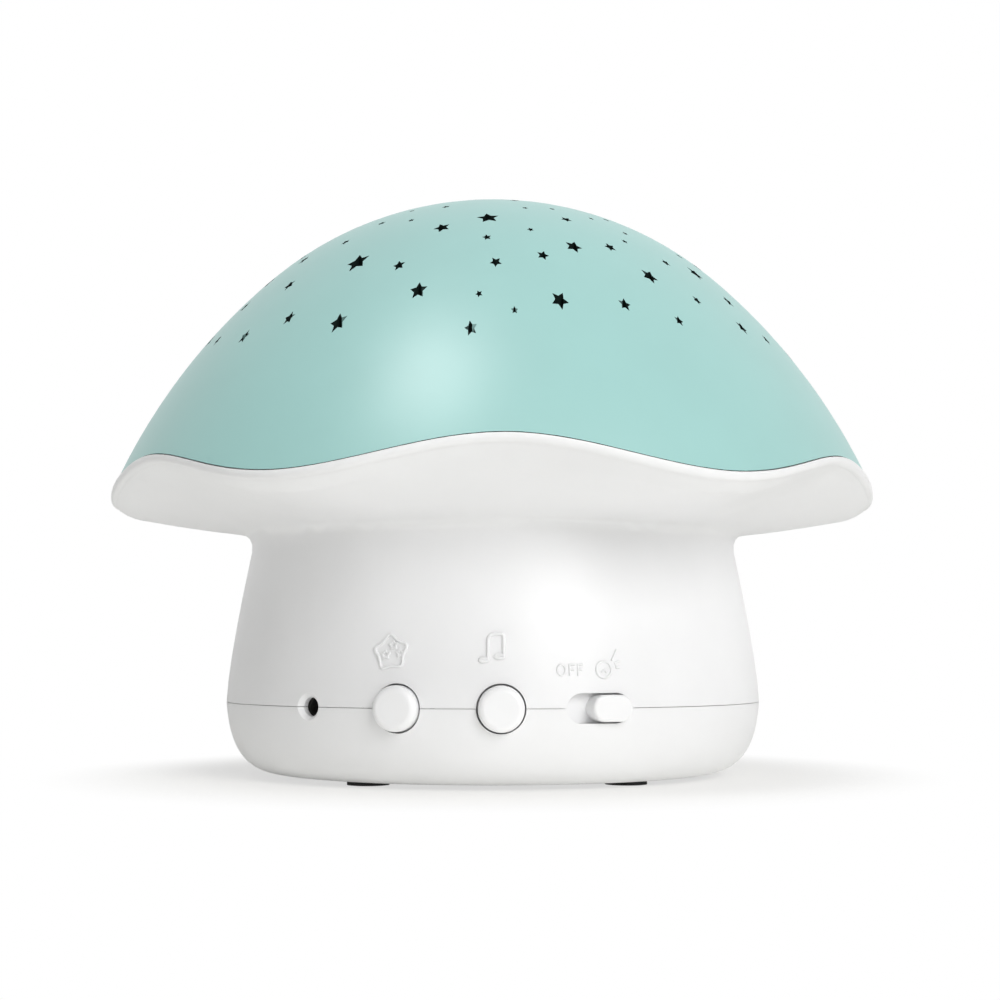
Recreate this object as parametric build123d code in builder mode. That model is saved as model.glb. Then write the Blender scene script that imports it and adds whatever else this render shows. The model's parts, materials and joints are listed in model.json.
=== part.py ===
"""Mushroom-shaped star night light projector, one separate piece per node.

Millimetres. +Z is up, the origin is on the floor under the middle of the object, and the controls face -Y.
An azimuth is in degrees about +Z, zero at the front (-Y) and positive towards +X.
"""

import os
from math import cos, radians, sin, sqrt

from build123d import *

os.makedirs("parts", exist_ok=True)

# ---------------------------------------------------------------- driving dimensions

overall_width = 166.6  # across two opposite troughs of the wavy rim
overall_height = 125.6

# dome
crown_angle = 42.0  # slope where the crown arc meets the flank arc
rim_angle = 67.7  # slope of the flank at the lowest point of the rim
dome_wall = 1.6
lobe_count = 6
rim_height = 62.3  # mean height of the wavy joint between dome and body
wave_height = 3.0  # the joint rises and falls this much about its mean height
joint_gap = 0.2  # fine dark line between dome and lip
lip_proud = 0.3  # the lip stands this far outside the dome

# upper body: skirt and stem
body_wall = 2.0
seam_height = 15.8
seam_gap = 0.2
seam_radius = 57.9
neck_radius = 52.2  # virtual corner under the skirt
neck_height = 52.0
neck_fillet_leg = 4.2
lip_drop = 3.9  # from the joint down to the start of the underside
lip_return = 5.4
lip_roundness = 2.0
skirt_sag = 0.6  # the underside hangs a little below a straight line
rim_band = 4.2  # width of the land that the dome stands on
ridge_height = 2.5  # locating ridge inside the dome
ridge_wall = 1.4
ridge_gap = 0.2

# base shell
base_bottom = 0.8
base_floor = 2.0
flat_inset = 11.4  # from the seam's radius in to the flat underside
foot_radius = 4.25
foot_height = 1.4
foot_inset = 15.9
foot_azimuths = (38, 142, 218, 322)
fit_gap = 0.15  # side clearance of a piece set into a pocket
moving_gap = 0.3  # clearance between pieces that move past each other

# batteries, three AA cells side by side
cell_radius = 7.25
cell_length = 50.5
nub_radius = 2.75
nub_length = 1.0
cell_gap = 0.6
contact_room = 6.5  # for the plates and the springs at both ends
bay_end_wall = 1.5
contact_thickness = 0.4
spring_wire = 0.8
spring_radius = 3.0

# door
door_thickness = 2.0
door_margin = 1.5  # the door laps under the walls of the bay
door_lug_reach = 5.5  # how far the lug at the screw reaches past the door
door_lug_width = 12.0
tab_length = 4.0
tab_width = 8.0
tab_thickness = 1.5
tab_spacing = 34.0
hinge_swing_height = 6.8  # top of the notches that the tabs swing in

# screws
screw_shank = 1.25
screw_head = 2.6
screw_head_height = 1.6
pilot_gap = 0.1
case_screw_inset = 14.9
case_screw_azimuths = (68, 160, 200, 292)
case_boss = 3.2
case_seat_height = 6.5
case_seat_thickness = 2.8

# control panel, centred on the seam; a setback is measured from the inner face of the stem at the seam
jack_azimuth = -40.0
light_azimuth = -20.0
music_azimuth = 0.0
slide_azimuth = 19.0
button_hole = 4.75
button_radius = 4.4
button_proud = 2.0
button_flange = 5.2
button_flange_setback = 1.2
button_flange_thickness = 1.0
button_travel = 0.8
button_stem = 2.2
plunger_radius = 1.75
plunger_length = 3.4
plunger_gap = 0.1
switch_setback = 5.3
switch_width = 7.0
switch_height = 6.6
switch_depth = 4.5

slot_length = 13.1
slot_height = 5.8
knob_length = 8.2
knob_height = 5.1
knob_proud = 1.5
knob_travel = 4.5
plate_setback = 0.55
plate_thickness = 1.2
plate_length = 18.6
plate_height = 7.2
lever_width = 1.6
lever_gap = 0.15
lever_setback = 7.4  # of the lever's inner end
prong_width = 1.0
prong_length = 1.9
slide_body_length = 13.0
slide_body_height = 6.0
slide_body_depth = 6.0
slide_body_setback = 4.4

jack_hole = 1.9
jack_dish = 3.0
jack_dish_depth = 1.0
jack_bore = 1.8
jack_mouth_depth = 2.4  # the guide bore ends here and the wider contact chamber begins
jack_chamber = 2.1
jack_bore_depth = 8.5
jack_setback = 0.7
jack_width = 6.4
jack_height = 7.0
jack_length = 10.0
jack_pin = 0.65
jack_pin_recess = 2.5

# control board
board_drop = 3.5  # from the seam down to the board's upper face
board_thickness = 1.2
board_setback = 4.4
board_gap = 2.5  # between the door's lug and the board's straight edge
board_boss = 2.5

# light unit
deck_gap = 0.1
deck_drop = 4.0  # from the neck down to the deck's underside
deck_thickness = 1.8
deck_ledge_width = 4.1
deck_ledge_thickness = 2.5
deck_screw_inset = 2.5
deck_screw_azimuths = (30, 150, 270)
deck_hole = 6.0
led_holder_outer = 15.0
led_holder_inner = 12.0
led_holder_height = 6.0
led_board_radius = 14.2
led_board_thickness = 1.2
led_size = 5.0
led_height = 1.6
led_circle = 5.0
shade_inner = 15.2
shade_outer = 16.4
shade_height = 13.0

# loudspeaker behind the rear wall
speaker_radius = 14.0
speaker_drop = 0.5  # between the deck's ledge and the loudspeaker's flange
speaker_seat_wall = 1.6
speaker_flange = 1.0
basket_radius = 11.0
magnet_radius = 6.5
magnet_thickness = 3.5
basket_depth = 4.0
clamp_thickness = 1.0
clamp_ear_reach = 3.6  # from the flange's edge out to the screw
clamp_ear_radius = 2.8
speaker_screw_grip = 2.2
grille_hole = 0.8
grille_rings = ((6, 4.2), (12, 8.4))  # holes in each ring and its radius

# inner leads
lead_radius = 0.6

# star holes of one third of the dome: azimuth, distance from the axis, size, turn
tiny, small, medium, large, huge = 0.72, 0.95, 1.25, 1.75, 2.35
stars = (
    (-3, 40, huge, 10), (-32, 53, huge, 24), (17, 50, large, 44), (32, 56, large, 30),
    (-15, 61, large, 8), (10, 63, large, 40), (-28, 66, large, 20), (-57, 48, medium, 5),
    (-15, 44, large, 30), (-21, 55, medium, 20), (-1, 55, medium, 32), (9, 53, medium, 50),
    (-5, 68, medium, 15), (27, 49, medium, 12), (22, 63, medium, 55), (21, 39, medium, 26),
    (52, 52, large, 18), (-40, 64, medium, 10), (50, 64, medium, 36), (55, 58, medium, 62),
    (-49, 56, medium, 40), (-50, 66, medium, 0), (-3, 48, small, 14), (-20, 31, small, 33),
    (-39, 38, small, 25), (-44, 45, small, 52), (42, 51, small, 8), (41, 60, small, 20),
    (58, 65, small, 30), (32, 65, small, 48), (57, 46, small, 16), (-4, 62, tiny, 28),
    (2, 65, tiny, 0), (8, 45, tiny, 20), (10, 33, tiny, 44), (21, 32, tiny, 12),
    (33, 36, tiny, 36), (39, 42, tiny, 5), (34, 46, tiny, 50), (-27, 39, tiny, 22),
    (10, 23, medium, 18), (-35, 31, tiny, 40), (43, 34, small, 27), (-50, 26, large, 12),
    (-12, 20, tiny, 30), (30, 16, small, 8), (-40, 10, medium, 20),
)

# ---------------------------------------------------------------- sizes that follow

wall_face = seam_radius - body_wall  # inner face of the stem at the seam
case_screw_circle = seam_radius - case_screw_inset
case_boss_bottom = case_seat_height + case_seat_thickness
button_flange_face = wall_face - button_flange_setback
switch_face = wall_face - switch_setback
plate_face = wall_face - plate_setback
jack_face = wall_face - jack_setback
board_top = seam_height - board_drop
deck_radius = neck_radius - body_wall - deck_gap
deck_bottom = neck_height - deck_drop
deck_screw_circle = deck_radius - deck_screw_inset
speaker_seat = neck_radius - body_wall  # distance of the seat's face from the axis
speaker_height = deck_bottom - deck_ledge_thickness - speaker_drop - speaker_radius
clamp_ear_place = speaker_radius + clamp_ear_reach

# ---------------------------------------------------------------- places and outlines


def at(azimuth, radius, height):
    """A point by its azimuth, its distance from the axis and its height."""
    return Vector(radius * sin(radians(azimuth)), -radius * cos(radians(azimuth)), height)


def wall_plane(azimuth, radius, height):
    """A plane facing outwards on the stem, with x to the right and y up as seen from outside."""
    outward = at(azimuth, 1, 0)
    sideways = Vector(cos(radians(azimuth)), sin(radians(azimuth)), 0)
    return Plane(origin=at(azimuth, radius, height), x_dir=sideways, z_dir=outward)


# The dome's outline is a crown arc about a point on the axis and a flatter flank arc tangent to it.
trough_height = rim_height - wave_height
dome_reach = overall_width / 2 - lip_proud
dome_rise = overall_height - trough_height
crown_sin, crown_cos = sin(radians(crown_angle)), cos(radians(crown_angle))
rim_sin, rim_cos = sin(radians(rim_angle)), cos(radians(rim_angle))
outline_scale = crown_sin * (crown_cos - rim_cos) - (rim_sin - crown_sin) * (1 - crown_cos)
crown_radius = (dome_reach * (crown_cos - rim_cos) - dome_rise * (rim_sin - crown_sin)) / outline_scale
flank_radius = (dome_rise * crown_sin - dome_reach * (1 - crown_cos)) / outline_scale
crown_centre = (0, overall_height - crown_radius)
flank_centre = (
    (crown_radius - flank_radius) * crown_sin,
    crown_centre[1] + (crown_radius - flank_radius) * crown_cos,
)
skirt_angle = rim_angle + 5  # the outline runs on below the rim before the wavy cut


def dome_radius(height, inset=0.0):
    """Distance of the flank from the axis at a height, or of its inner face at an inset."""
    return flank_centre[0] + sqrt((flank_radius - inset) ** 2 - (height - flank_centre[1]) ** 2)


def wave(azimuth):
    """Height of the wavy joint above its mean height; crests at the front and every sixth of a turn."""
    return wave_height * cos(radians(lobe_count * azimuth))


def dome_band(outer_inset, inner_inset):
    """Solid of revolution between two insets of the dome's outline."""
    with BuildPart() as band:
        with BuildSketch(Plane.XZ):
            with BuildLine():
                outer_crown = CenterArc(crown_centre, crown_radius - outer_inset, 90, -crown_angle)
                outer_flank = CenterArc(
                    flank_centre, flank_radius - outer_inset, 90 - crown_angle, crown_angle - skirt_angle
                )
                inner_crown = CenterArc(crown_centre, crown_radius - inner_inset, 90, -crown_angle)
                inner_flank = CenterArc(
                    flank_centre, flank_radius - inner_inset, 90 - crown_angle, crown_angle - skirt_angle
                )
                Line(outer_flank @ 1, inner_flank @ 1)
                Line(outer_crown @ 0, inner_crown @ 0)
            make_face()
        revolve(axis=Axis.Z)
    return band.part


ring_steps = 6 * lobe_count


def ring(place):
    """A smooth closed curve through place(azimuth) = (radius, height) at even azimuths."""
    azimuths = [360 * step / ring_steps for step in range(ring_steps)]
    return Wire(Edge.make_spline([at(azimuth, *place(azimuth)) for azimuth in azimuths], periodic=True))


def wave_block(lift, level):
    """Everything between the wavy joint raised by lift and a level plane, across the rim."""
    inner, outer = overall_width / 5, overall_width
    cap = level + (rim_height - level) / 5
    return Solid.make_loft(
        [
            ring(lambda azimuth: (inner, cap)),
            ring(lambda azimuth: (inner, rim_height + wave(azimuth) + lift)),
            ring(lambda azimuth: (outer, rim_height + wave(azimuth) + lift)),
            ring(lambda azimuth: (outer, level)),
        ],
        ruled=True,
    )


def below_wave(lift):
    """The block under the joint."""
    return wave_block(lift, rim_height - 25)


def above_wave(lift):
    """The block over the joint."""
    return wave_block(lift, rim_height + 25)


def bezier(controls, share):
    """A point on a quadratic or cubic curve through its control points' hull."""
    points = [Vector(*control) for control in controls]
    while len(points) > 1:
        points = [near + (far - near) * share for near, far in zip(points, points[1:])]
    return points[0].X, points[0].Y


def skirt_section(azimuth, wall):
    """Points up one radial section of the body, from the seam to above the joint.

    wall is 0 for the outer face and body_wall for the inner face.
    """
    joint_height = rim_height + wave(azimuth)
    joint_radius = dome_radius(joint_height) + lip_proud
    corner = Vector(neck_radius - wall, neck_height + wall)
    if wall:
        lip_end = Vector(joint_radius - rim_band, joint_height - lip_drop + wall + 0.5)
        middle = (corner + lip_end) / 2
        lip_controls = [lip_end, lip_end + Vector(0, 1)]
    else:
        lip_end = Vector(joint_radius - lip_return, joint_height - lip_drop)
        middle = (corner + lip_end) / 2 - Vector(0, skirt_sag)
        lip_controls = [
            lip_end,
            lip_end + (lip_end - middle).normalized() * lip_roundness,
            Vector(joint_radius, joint_height - lip_roundness),
            Vector(joint_radius, joint_height),
        ]
    stem_top = corner + Vector(neck_fillet_leg / 6, -neck_fillet_leg)
    underside_start = corner + (middle - corner).normalized() * neck_fillet_leg
    stem_foot = Vector(seam_radius - wall, seam_height + seam_gap / 2)
    stem_controls = [stem_foot, stem_foot + Vector(-0.3, 8), stem_top + Vector(2.0, -10), stem_top]
    fillet_controls = [stem_top, corner, underside_start]
    underside_controls = [underside_start, middle, lip_end]
    points = [bezier(stem_controls, step / 6) for step in range(7)]
    points += [bezier(fillet_controls, step / 4) for step in range(1, 5)]
    points += [bezier(underside_controls, step / 3) for step in range(1, 3)]
    points += [bezier(lip_controls, step / 5) for step in range(6)]
    points.append((points[-1][0], rim_height + 3 * wave_height))
    return points


def skirt_solid(wall):
    """The body's outer form, or its hollow, up past the joint."""
    count = len(skirt_section(0, wall))
    rings = [ring(lambda azimuth: skirt_section(azimuth, wall)[step]) for step in range(count)]
    return Solid.make_loft(rings, ruled=True)


# ---------------------------------------------------------------- dome


def star_outline(size):
    """Five-pointed star, drawn about the sketch's own origin."""
    tips = 5
    with BuildLine() as outline:
        points = []
        for step in range(2 * tips):
            reach = size if step % 2 == 0 else size * 0.5
            angle = radians(90 + 180 / tips * step)
            points.append((reach * cos(angle), reach * sin(angle)))
        Polyline(*points, close=True)
    return make_face(outline.edges(), mode=Mode.PRIVATE)


dome_band_solid = dome_band(0, dome_wall)
joint_cutter = below_wave(joint_gap)

with BuildPart() as star_dome:
    add(dome_band_solid)
    add(joint_cutter, mode=Mode.SUBTRACT)
    with BuildSketch(Plane.XY.offset(rim_height)):
        for third in (0, 120, 240):
            for azimuth, distance, size, turn in stars:
                place = at(azimuth + third, distance, 0)
                with Locations(Location((place.X, place.Y, 0), (0, 0, turn + azimuth + third))):
                    add(star_outline(size))
    extrude(amount=overall_height - rim_height + 5, mode=Mode.SUBTRACT)
star_dome.part.label = "star_dome"
export_step(star_dome.part, "parts/star_dome.step")

# ---------------------------------------------------------------- shared cuts through both shells


def turned(profile_radius, start, end, azimuth, height):
    """Solid cylinder along the radial direction at an azimuth, from start to end, distances from the axis."""
    with BuildPart() as rod:
        with BuildSketch(wall_plane(azimuth, start, height)):
            Circle(profile_radius)
        extrude(amount=end - start)
    return rod.part


def panel_block(width, height, start, end, azimuth, level, shift=0.0, rounded=False):
    """Block or stadium along the radial direction, width sideways and height upwards, centred on level."""
    with BuildPart() as block:
        with BuildSketch(wall_plane(azimuth, start, level)):
            with Locations((shift, 0)):
                if rounded:
                    SlotOverall(width, height)
                else:
                    Rectangle(width, height)
        extrude(amount=end - start)
    return block.part


outside = seam_radius + 6
wall_reach = seam_radius - 10  # cuts through the wall start here, clear of everything inside
pocket_face = plate_face + moving_gap - 0.05
panel_cuts = [
    turned(button_hole, wall_reach, outside, light_azimuth, seam_height),
    turned(button_hole, wall_reach, outside, music_azimuth, seam_height),
    turned(jack_hole, wall_reach, outside, jack_azimuth, seam_height),
    panel_block(slot_length, slot_height, wall_reach, outside, slide_azimuth, seam_height, rounded=True),
    panel_block(
        plate_length + knob_travel + 2 * moving_gap, plate_height + 2 * moving_gap, wall_reach, pocket_face,
        slide_azimuth, seam_height,
    ),
]
with BuildPart() as dish:
    with BuildSketch(wall_plane(jack_azimuth, seam_radius - jack_dish_depth, seam_height)):
        Circle(jack_hole)
    with BuildSketch(wall_plane(jack_azimuth, seam_radius + 0.1, seam_height)):
        Circle(jack_dish)
    loft()
panel_cuts.append(dish.part)
panel_cuts.append(panel_block(
    jack_width + 2 * moving_gap, jack_height + 2 * moving_gap, wall_reach, jack_face + fit_gap, jack_azimuth,
    board_top + jack_height / 2,
))

# ---------------------------------------------------------------- upper body

clamp_face = speaker_seat - speaker_flange  # the clamp's ears rest on bosses level with the flange
outer_form = skirt_solid(0)
inner_form = skirt_solid(body_wall)


def circle_places(distance, azimuths):
    """Plan positions on a circle."""
    points = [at(azimuth, distance, 0) for azimuth in azimuths]
    return [(point.X, point.Y) for point in points]


with BuildPart() as body_blank:
    add(outer_form)
    add(above_wave(0), mode=Mode.SUBTRACT)

with BuildPart() as ridge:
    add(dome_band(dome_wall + ridge_gap, dome_wall + ridge_gap + ridge_wall))
    add(below_wave(ridge_height), mode=Mode.INTERSECT)
    add(below_wave(-1), mode=Mode.SUBTRACT)

with BuildPart() as ledge:
    with BuildSketch(Plane.XY.offset(deck_bottom - deck_ledge_thickness)):
        Circle(seam_radius)
        Circle(deck_radius - deck_ledge_width, mode=Mode.SUBTRACT)
    extrude(amount=deck_ledge_thickness)
    with BuildSketch(Plane.XY.offset(deck_bottom - 8)):
        with Locations(*circle_places(deck_screw_circle, deck_screw_azimuths)):
            Circle(case_boss)
    extrude(amount=8)
    with BuildSketch(Plane.XY.offset(case_boss_bottom)):
        with Locations(*circle_places(case_screw_circle, case_screw_azimuths)):
            Circle(case_boss)
    extrude(amount=20)
    for azimuth in case_screw_azimuths:
        rib_foot = seam_height + 2.8
        add(panel_block(1.6, 8, case_screw_circle, seam_radius, azimuth, rib_foot + 4))
    add(turned(speaker_radius + 0.6, speaker_seat, seam_radius + 5, 180, speaker_height))
    add(turned(speaker_radius + 0.6 - speaker_seat_wall, speaker_seat, seam_radius + 5, 180, speaker_height),
        mode=Mode.SUBTRACT)
    for side in (-1, 1):
        with BuildSketch(wall_plane(180, clamp_face, speaker_height)):
            with Locations((side * clamp_ear_place, 0)):
                Circle(clamp_ear_radius)
        extrude(amount=8)

with BuildPart() as inner_fittings:
    add(ledge.part)
    add(body_blank.part, mode=Mode.INTERSECT)
with BuildPart() as low_bosses:
    with BuildSketch(Plane.XY.offset(case_boss_bottom)):
        with Locations(*circle_places(case_screw_circle, case_screw_azimuths)):
            Circle(case_boss)
    extrude(amount=seam_height + 1 - case_boss_bottom)

with BuildPart() as pilot_cuts:
    with BuildSketch(Plane.XY.offset(case_boss_bottom)):
        with Locations(*circle_places(case_screw_circle, case_screw_azimuths)):
            Circle(screw_shank + pilot_gap)
    extrude(amount=14)
    with BuildSketch(Plane.XY.offset(deck_bottom - 7)):
        with Locations(*circle_places(deck_screw_circle, deck_screw_azimuths)):
            Circle(screw_shank + pilot_gap)
    extrude(amount=8)

with BuildPart() as sound_holes:
    with BuildSketch(wall_plane(180, speaker_seat - 4, speaker_height)):
        Circle(grille_hole)
        for count, distance in grille_rings:
            with PolarLocations(distance, count):
                Circle(grille_hole)
    extrude(amount=20)

with BuildPart() as clamp_pilots:
    with BuildSketch(wall_plane(180, clamp_face, speaker_height)):
        with Locations((-clamp_ear_place, 0), (clamp_ear_place, 0)):
            Circle(screw_shank + pilot_gap)
    extrude(amount=speaker_screw_grip + 0.5)

with BuildPart() as upper_body:
    add(body_blank.part)
    add(inner_form, mode=Mode.SUBTRACT)
    for piece in (ridge, inner_fittings, low_bosses):
        add(piece.part)
    for cut in (*panel_cuts, pilot_cuts.part, sound_holes.part, clamp_pilots.part):
        add(cut, mode=Mode.SUBTRACT)
upper_body.part.label = "upper_body"
export_step(upper_body.part, "parts/upper_body.step")

# ---------------------------------------------------------------- base shell

seam_base = seam_height - seam_gap / 2
cell_pitch = 2 * cell_radius + cell_gap
bay_half_length = (cell_length + contact_room) / 2
door_half_length = bay_half_length + door_margin
bay_half_width = cell_pitch + cell_radius + 0.65
door_edge = bay_half_width + 2.0
lug_edge = door_edge + door_lug_reach
board_edge = -lug_edge - board_gap
board_boss_places = ((-8.5, board_edge - 5.0), (31.0, board_edge - 4.0), (-22.5, board_edge - 3.5))
door_screw_place = (0, -lug_edge + 3.5)
door_top = base_bottom + door_thickness
bay_floor = door_top + moving_gap  # under edge of the bay's walls
cell_height = bay_floor + 0.3 + cell_radius
bay_ceiling = cell_height + cell_radius + 0.7
bay_top = bay_ceiling + bay_end_wall
bay_outer = bay_half_length + bay_end_wall
terminal_level = cell_height + 3.4  # the solder tabs pass the bay's end walls here
terminal_width = 3.0
tongue_radius = seam_radius - body_wall - fit_gap
tongue_wall = 1.4
tongue_height = 2.0


def base_outline(inset):
    """Control points of the rounded lower edge, from the flat bottom up to the seam."""
    return [
        (seam_radius - flat_inset, base_bottom + inset),
        (seam_radius - 4.3 - 0.6 * inset, base_bottom + inset),
        (seam_radius - 0.7 - 0.9 * inset, base_bottom + 5.2 + 0.4 * inset),
        (seam_radius - inset, seam_base),
    ]


def column(centre, radius, bottom, top):
    """Upright cylinder."""
    with BuildPart() as post:
        with BuildSketch(Plane.XY.offset(bottom)):
            with Locations(centre):
                Circle(radius)
        extrude(amount=top - bottom)
    return post.part


def slab(near, far):
    """Block between two opposite corners, given in any order."""
    low = [min(pair) for pair in zip(near, far)]
    size = [abs(a - b) for a, b in zip(near, far)]
    with BuildPart() as block:
        with BuildSketch(Plane.XY.offset(low[2])):
            with Locations((low[0] + size[0] / 2, low[1] + size[1] / 2)):
                Rectangle(size[0], size[1])
        extrude(amount=size[2])
    return block.part


def door_plate(margin, bottom, top, corner=1.2):
    """The door with the lug at its screw, grown sideways by a margin."""
    with BuildPart() as plate:
        with BuildSketch(Plane.XY.offset(bottom)):
            RectangleRounded(2 * (door_half_length + margin), 2 * (door_edge + margin), corner)
            with Locations((0, -lug_edge / 2)):
                RectangleRounded(door_lug_width + 2 * margin, lug_edge + 2 * margin, corner)
        extrude(amount=top - bottom)
    return plate.part


with BuildPart() as tongue:
    with BuildSketch(Plane.XY.offset(seam_base - 3)):
        Circle(seam_radius - 1)
        Circle(tongue_radius - tongue_wall, mode=Mode.SUBTRACT)
    extrude(amount=3)
    with BuildSketch(Plane.XY.offset(seam_base)):
        Circle(tongue_radius)
        Circle(tongue_radius - tongue_wall, mode=Mode.SUBTRACT)
    extrude(amount=tongue_height)
    # open behind the controls and under the loudspeaker
    add(slab((-seam_radius, -seam_radius, 0), (seam_radius, board_edge, seam_height + 5)), mode=Mode.SUBTRACT)
    half = speaker_radius + 1
    add(slab((-half, 0, seam_base), (half, seam_radius, seam_height + 5)), mode=Mode.SUBTRACT)

with BuildPart() as base_shell:
    with BuildSketch(Plane.XZ):
        with BuildLine():
            outer_edge = Bezier(*base_outline(0))
            inner_edge = Bezier(*base_outline(base_floor))
            Line(outer_edge @ 1, inner_edge @ 1)
            Line(outer_edge @ 0, (0, base_bottom))
            Line((0, base_bottom), (0, base_bottom + base_floor))
            Line((0, base_bottom + base_floor), inner_edge @ 0)
        make_face()
    revolve(axis=Axis.Z)
    add(tongue.part)
    # battery bay, its door's rebate and the boss for the door's screw
    add(door_plate(2.0, base_bottom, bay_floor + 2))
    add(slab((-bay_outer, -bay_half_width - bay_end_wall, base_bottom),
             (bay_outer, bay_half_width + bay_end_wall, bay_top)))
    add(column(door_screw_place, 3.4, base_bottom, bay_floor + 8))
    add(slab((-bay_half_length, -bay_half_width, 0), (bay_half_length, bay_half_width, bay_ceiling)),
        mode=Mode.SUBTRACT)
    add(door_plate(moving_gap, 0, bay_floor), mode=Mode.SUBTRACT)
    add(column(door_screw_place, screw_shank + 0.75, base_bottom, bay_floor + 7), mode=Mode.SUBTRACT)
    for side in (-1, 1):
        # notch that a tab swings in, and the slot of a solder tab
        middle = side * tab_spacing / 2
        half = tab_width / 2 + moving_gap + 0.1
        add(slab((middle - half, bay_half_width - 3, base_bottom + base_floor),
                 (middle + half, door_edge + tab_length + 1, hinge_swing_height)), mode=Mode.SUBTRACT)
        half = terminal_width / 2 + moving_gap
        slot_top = terminal_level + contact_thickness + moving_gap
        add(slab((side * (bay_half_length - 1), -side * cell_pitch - half, terminal_level - moving_gap),
                 (side * (bay_outer + 1), -side * cell_pitch + half, slot_top)), mode=Mode.SUBTRACT)
    for place in board_boss_places:
        add(column(place, board_boss, base_bottom + 1, board_top - board_thickness))
        add(column(place, screw_shank + pilot_gap, base_bottom + 4, board_top), mode=Mode.SUBTRACT)
    for place in circle_places(case_screw_circle, case_screw_azimuths):
        add(column(place, case_boss + 1.2, base_bottom, case_boss_bottom - moving_gap))
        add(column(place, screw_head + 0.4, 0, case_seat_height), mode=Mode.SUBTRACT)
        add(column(place, screw_shank + 0.35, 0, case_boss_bottom), mode=Mode.SUBTRACT)
    for place in circle_places(seam_radius - foot_inset, foot_azimuths):
        add(column(place, foot_radius + fit_gap, 0, foot_height), mode=Mode.SUBTRACT)
    for cut in panel_cuts:
        add(cut, mode=Mode.SUBTRACT)
base_shell.part.label = "base_shell"
export_step(base_shell.part, "parts/base_shell.step")

with BuildPart() as rubber_feet:
    with BuildSketch(Plane.XY):
        with Locations(*circle_places(seam_radius - foot_inset, foot_azimuths)):
            Circle(foot_radius)
    extrude(amount=foot_height)
rubber_feet.part.label = "rubber_feet"
export_step(rubber_feet.part, "parts/rubber_feet.step")


def screws(plane, places, length):
    """Round-headed screws with their heads on a plane, driven along its -z direction."""
    with BuildPart() as group:
        with BuildSketch(plane):
            with Locations(*places):
                Circle(screw_head)
        extrude(amount=screw_head_height)
        cross = [edge for edge in group.edges() if edge.geom_type == GeomType.CIRCLE]
        top_edges = [edge for edge in cross if plane.to_local_coords(edge.center()).Z > screw_head_height / 2]
        fillet(top_edges, 0.6)
        with BuildSketch(plane):
            with Locations(*places):
                Circle(screw_shank)
        extrude(amount=-length)
        with BuildSketch(plane.offset(screw_head_height - 0.8)):
            with Locations(*places):
                Rectangle(2.8, 0.6)
                Rectangle(0.6, 2.8)
        extrude(amount=1, mode=Mode.SUBTRACT)
    return group


case_screws = screws(
    Plane(origin=(0, 0, case_seat_height), x_dir=(1, 0, 0), z_dir=(0, 0, -1)),
    [(x, -y) for x, y in circle_places(case_screw_circle, case_screw_azimuths)], 13,
)
case_screws.part.label = "case_screws"
export_step(case_screws.part, "parts/case_screws.step")

# ---------------------------------------------------------------- battery door and its screw

with BuildPart() as battery_door:
    add(door_plate(0, base_bottom, door_top))
    for side in (-1, 1):
        # stepped tab that hooks over the shell's floor behind the door
        left = side * tab_spacing / 2 - tab_width / 2
        add(slab((left, bay_half_width - 1, door_top - 0.5),
                 (left + tab_width, door_edge, bay_floor + tab_thickness)))
        add(slab((left, bay_half_width - 1, bay_floor),
                 (left + tab_width, door_edge + tab_length, bay_floor + tab_thickness)))
    # finger grooves
    with BuildSketch(Plane.XY.offset(base_bottom)):
        with Locations((0, -8), (0, -11), (0, -14)):
            SlotOverall(16, 1.2)
    extrude(amount=0.5, mode=Mode.SUBTRACT)
    add(column(door_screw_place, screw_head + 0.3, base_bottom, base_bottom + 1.2), mode=Mode.SUBTRACT)
    add(column(door_screw_place, screw_shank + 0.2, base_bottom, door_top), mode=Mode.SUBTRACT)
battery_door.part.label = "battery_door"
export_step(battery_door.part, "parts/battery_door.step")

with BuildPart() as door_screw:
    add(column(door_screw_place, screw_head, base_bottom + 0.2, base_bottom + 1.1))
    add(column(door_screw_place, screw_shank, base_bottom + 0.2, bay_floor + 6))
    with BuildSketch(Plane.XY.offset(base_bottom + 0.2)):
        with Locations(door_screw_place):
            Rectangle(3.0, 0.7)
            Rectangle(0.7, 3.0)
    extrude(amount=0.5, mode=Mode.SUBTRACT)
door_screw.part.label = "door_screw"
export_step(door_screw.part, "parts/door_screw.step")

# ---------------------------------------------------------------- cells and contacts

cells = (("aa_cell_front", -cell_pitch, 1), ("aa_cell_middle", 0, -1), ("aa_cell_rear", cell_pitch, 1))
plus_end = bay_half_length - contact_thickness - 0.1  # tip of the nub
minus_end = plus_end - cell_length  # flat end of the cell
for name, y, facing in cells:
    with BuildPart() as cell:
        with BuildSketch(Plane.YZ.offset(minus_end)):
            with Locations((y, cell_height)):
                Circle(cell_radius)
        extrude(amount=cell_length - nub_length)
        fillet(cell.edges().filter_by(GeomType.CIRCLE), 0.5)
        with BuildSketch(Plane.YZ.offset(plus_end - nub_length - 0.5)):
            with Locations((y, cell_height)):
                Circle(nub_radius)
        extrude(amount=nub_length + 0.5)
    piece = cell.part if facing > 0 else cell.part.mirror(Plane.YZ)
    piece.label = name
    export_step(piece, f"parts/{name}.step")

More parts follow.
